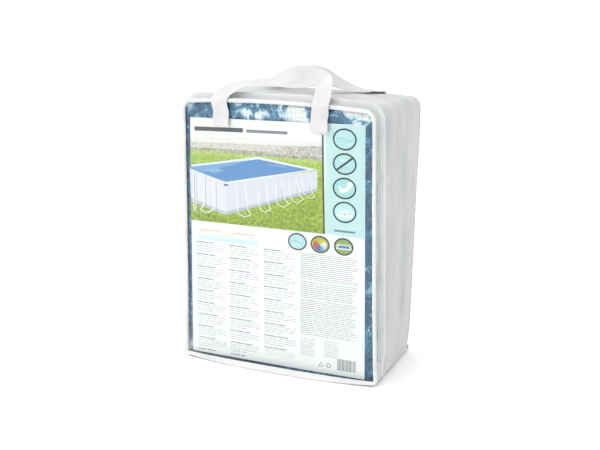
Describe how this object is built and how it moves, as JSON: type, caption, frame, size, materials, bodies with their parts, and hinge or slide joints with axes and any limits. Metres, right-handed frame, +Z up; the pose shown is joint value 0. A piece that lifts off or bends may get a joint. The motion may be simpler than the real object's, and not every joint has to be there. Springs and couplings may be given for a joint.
{
  "type": "zipped cover storage bag",
  "caption": "Upright zipped bag of white nonwoven fabric with a clear front window, carry handles, a printed card and a folded bubble cover inside.",
  "frame": {"origin": "middle of the base, on the surface the bag stands on", "axes": "+Z up, -Y the side of the clear window, +X to the right seen from the window"},
  "size_m": [0.366, 0.1962, 0.5122],
  "materials": {
    "nonwoven": "spunbond nonwoven, white, matte, slightly see-through",
    "binding": "folded white nonwoven binding",
    "piping_cord": "extruded cord, hidden",
    "zip_tape": "woven white tape",
    "zip_coil": "white nylon coil",
    "bubble_film": "blue translucent bubble film, glossy",
    "printed_card": "coated card, printed",
    "clear_film": "clear soft film, glossy",
    "webbing": "woven white strap",
    "thread": "white sewing thread",
    "zip_metal": "die-cast zinc, white lacquer"
  },
  "bodies": {
    "bag": {"gusset_strip": "nonwoven", "bottom_panel": "nonwoven", "back_panel": "nonwoven", "rear_piping_sleeve": "binding", "rear_piping_cord": "piping_cord", "mid_welt": "binding", "rear_zip_tape": "zip_tape", "rear_zip_coil": "zip_coil", "zip_end_tabs": "nonwoven", "folded_cover": "bubble_film", "insert_card": "printed_card", "rear_handle_legs": "webbing", "rear_handle_stitching": "thread"},
    "front_flap": {"front_window": "clear_film", "front_piping_sleeve": "binding", "front_piping_cord": "piping_cord", "front_zip_tape": "zip_tape", "front_zip_coil": "zip_coil", "front_handle_legs": "webbing", "front_handle_stitching": "thread"},
    "front_handle": {"front_handle_loop": "webbing"},
    "rear_handle": {"rear_handle_loop": "webbing"},
    "zip_slider": {"slider_body": "zip_metal", "slider_bail": "zip_metal"},
    "zip_pull": {"pull_tab": "zip_metal"}
  },
  "joints": [
    {"name": "front_flap_fold", "type": "hinge", "parent": "bag", "child": "front_flap", "pos_m": [0, -0.092, 0.003], "axis": [1, 0, 0], "range_deg": [0, 90]},
    {"name": "front_handle_swing", "type": "hinge", "parent": "front_flap", "child": "front_handle", "pos_m": [0, -0.09765, 0.45], "axis": [1, 0, 0], "range_deg": [0, 215]},
    {"name": "rear_handle_swing", "type": "hinge", "parent": "bag", "child": "rear_handle", "pos_m": [0, 0.09765, 0.45], "axis": [-1, 0, 0], "range_deg": [0, 215]},
    {"name": "slider_run", "type": "slide", "parent": "bag", "child": "zip_slider", "axis": [0, 0, 1], "range_m": [0, 0.355]},
    {"name": "pull_tab_swing", "type": "hinge", "parent": "zip_slider", "child": "zip_pull", "pos_m": [-0.1767, -0.0805, 0.064], "axis": [0, 1, 0], "range_deg": [0, 170]}
  ]
}
